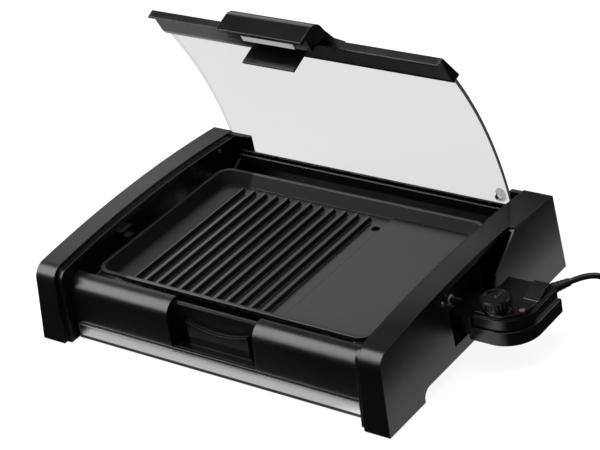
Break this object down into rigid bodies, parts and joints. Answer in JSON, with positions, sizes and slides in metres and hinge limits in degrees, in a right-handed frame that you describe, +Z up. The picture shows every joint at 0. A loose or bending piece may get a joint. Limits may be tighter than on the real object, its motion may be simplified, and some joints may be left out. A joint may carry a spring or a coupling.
{
  "type": "electric indoor grill with lid",
  "caption": "Tabletop electric grill with a curved glass lid on rear hinges, a half-ribbed lift-out plate, a pull-out drip tray and a plug-in heat controller on a cord.",
  "frame": {"origin": "Centre of the footprint on the floor, measured without the free cord: midway between the outer foot of the left cheek and the outer end of the heat controller, and midway between the front and the rear of the feet.", "axes": "+X runs along the hinge from the left cheek to the right cheek and the controller, +Y to the rear where the hinge is, +Z up."},
  "size_m": [0.6662, 0.3478, 0.3055],
  "materials": {
    "satin_black": "satin moulded plastic",
    "gloss_black": "smooth moulded plastic",
    "cast_plate": "cast plate with a dark non-stick coat",
    "brushed_strip": "brushed along its length",
    "plain_steel": "plain sheet and pins",
    "dark_steel": "heat-darkened tube",
    "clear_glass": "clear tempered glass",
    "ceramic": "unglazed insulator",
    "black_rubber": "matt rubber",
    "lamp_red": "clear tinted lens"
  },
  "bodies": {
    "base": {"left_cheek": "satin_black", "right_cheek": "satin_black", "front_panel": "satin_black", "finger_recess": "satin_black", "rear_panel": "satin_black", "base_pan": "plain_steel", "tray_runners": "plain_steel", "plate_supports": "plain_steel", "plate_clips": "satin_black", "heating_tube": "dark_steel", "tube_clips": "plain_steel", "contact_pins": "plain_steel", "pin_bushes": "ceramic", "socket_guard": "dark_steel", "foot_pads": "black_rubber", "hinge_pins": "plain_steel", "cheek_screws": "plain_steel"},
    "plate": {"grill_plate": "cast_plate"},
    "tray": {"drip_tray": "dark_steel", "tray_front_strip": "brushed_strip"},
    "lid": {"lid_glass": "clear_glass", "lid_front_rail": "satin_black", "rail_end_caps": "satin_black", "lid_handle": "gloss_black", "handle_plate": "brushed_strip", "handle_tab": "gloss_black", "lid_rear_rail": "satin_black", "left_hinge_arm": "satin_black", "right_hinge_arm": "satin_black", "glass_grommets": "gloss_black"},
    "controller": {"controller_base": "satin_black", "controller_cover": "satin_black", "controller_grip": "satin_black", "lamp_lens": "lamp_red", "temperature_probe": "plain_steel", "contact_sleeves": "plain_steel", "cord_relief": "black_rubber", "mains_cord": "black_rubber", "cord_coil": "black_rubber", "mains_plug": "satin_black", "plug_pins": "plain_steel"},
    "dial": {"control_dial": "gloss_black"}
  },
  "joints": [
    {"name": "lid_hinge", "type": "hinge", "parent": "base", "child": "lid", "pos_m": [-0.03325, 0.12365, 0.0443], "axis": [1, 0, 0], "range_deg": [0, 67.7]},
    {"name": "tray_slide", "type": "slide", "parent": "base", "child": "tray", "axis": [0, -1, 0], "range_m": [0, 0.18]},
    {"name": "plate_lift", "type": "slide", "parent": "base", "child": "plate", "axis": [0, 0, 1], "range_m": [0, 0.08]},
    {"name": "controller_pull", "type": "slide", "parent": "base", "child": "controller", "axis": [1, 0, 0], "range_m": [0, 0.1]},
    {"name": "dial_turn", "type": "hinge", "parent": "controller", "child": "dial", "pos_m": [0.21275, -0.00725, 0.07], "axis": [0, 0, 1], "range_deg": [0, 270]}
  ]
}
